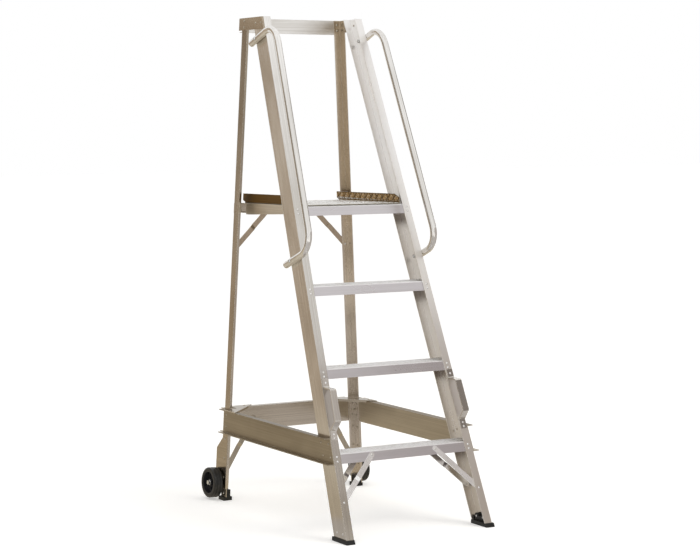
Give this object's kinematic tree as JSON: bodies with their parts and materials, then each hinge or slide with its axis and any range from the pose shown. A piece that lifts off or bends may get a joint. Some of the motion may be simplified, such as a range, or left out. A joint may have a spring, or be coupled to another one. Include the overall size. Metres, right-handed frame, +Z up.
{
  "type": "mobile ladder stand",
  "caption": "Aluminium mobile ladder stand: leaning stiles with ribbed treads up to a guarded chequer-plate platform, bent handrails, braced base and rear wheels for tilting and rolling",
  "frame": {"origin": "on the floor, in the middle of the stand's width and depth", "axes": "+Z up; -Y is the side that is climbed, +Y the guard rail's and wheels' side; +X to the climber's right"},
  "size_m": [0.7004, 1.0206, 1.8315],
  "materials": {
    "mill_aluminium": "mill finish, faint draw lines",
    "tread_aluminium": "extruded, ribbed top worn bright",
    "chequer_aluminium": "rolled bar-pattern plate",
    "rivet_aluminium": "set rivet heads",
    "zinc_steel": "zinc plated",
    "foot_rubber": "matt moulded",
    "tyre_rubber": "matt moulded",
    "black_nylon": "moulded, low sheen"
  },
  "bodies": {
    "frame": {"stile_left": "mill_aluminium", "stile_right": "mill_aluminium", "rear_leg_left": "mill_aluminium", "rear_leg_right": "mill_aluminium", "tread_lower": "tread_aluminium", "tread_middle": "tread_aluminium", "tread_upper": "tread_aluminium", "platform_front_step": "tread_aluminium", "platform_deck": "chequer_aluminium", "platform_side_rail_left": "mill_aluminium", "platform_side_rail_right": "mill_aluminium", "platform_rear_channel": "mill_aluminium", "base_rail_left": "mill_aluminium", "base_rail_right": "mill_aluminium", "base_rail_rear": "mill_aluminium", "corner_gusset_left": "mill_aluminium", "corner_gusset_right": "mill_aluminium", "tread_brace_front_left": "mill_aluminium", "tread_brace_front_right": "mill_aluminium", "tread_brace_rear_left": "mill_aluminium", "tread_brace_rear_right": "mill_aluminium", "base_brace_left": "mill_aluminium", "base_brace_right": "mill_aluminium", "platform_brace_left": "mill_aluminium", "platform_brace_right": "mill_aluminium", "top_plate_left": "mill_aluminium", "top_plate_right": "mill_aluminium", "guard_rail": "mill_aluminium", "handrail_left": "mill_aluminium", "handrail_right": "mill_aluminium", "handrail_bolts": "zinc_steel", "handrail_nuts": "zinc_steel", "lift_handle_left": "mill_aluminium", "lift_handle_right": "mill_aluminium", "front_foot_left": "foot_rubber", "front_foot_right": "foot_rubber", "rear_foot_left": "foot_rubber", "rear_foot_right": "foot_rubber", "wheel_bracket_left": "mill_aluminium", "wheel_bracket_right": "mill_aluminium", "axle_bolt_left": "zinc_steel", "axle_bolt_right": "zinc_steel", "axle_nut_left": "zinc_steel", "axle_nut_right": "zinc_steel", "axle_washers_left": "zinc_steel", "axle_washers_right": "zinc_steel", "step_rivets": "rivet_aluminium", "base_rivets": "rivet_aluminium", "brace_rivets": "rivet_aluminium", "handle_rivets": "rivet_aluminium", "foot_rivets": "rivet_aluminium", "top_rivets": "rivet_aluminium", "platform_rivets": "rivet_aluminium", "bracket_rivets": "rivet_aluminium"},
    "wheel_left": {"tyre_left": "tyre_rubber", "wheel_hub_left": "black_nylon", "wheel_bush_left": "zinc_steel"},
    "wheel_right": {"tyre_right": "tyre_rubber", "wheel_hub_right": "black_nylon", "wheel_bush_right": "zinc_steel"}
  },
  "joints": [
    {"name": "wheel_left_spin", "type": "hinge", "parent": "frame", "child": "wheel_left", "pos_m": [-0.3296, 0.45278, 0.06386], "axis": [0.9987, 0, -0.0506], "continuous": true},
    {"name": "wheel_right_spin", "type": "hinge", "parent": "frame", "child": "wheel_right", "pos_m": [0.3296, 0.45278, 0.06386], "axis": [0.9987, 0, 0.0506], "continuous": true}
  ]
}
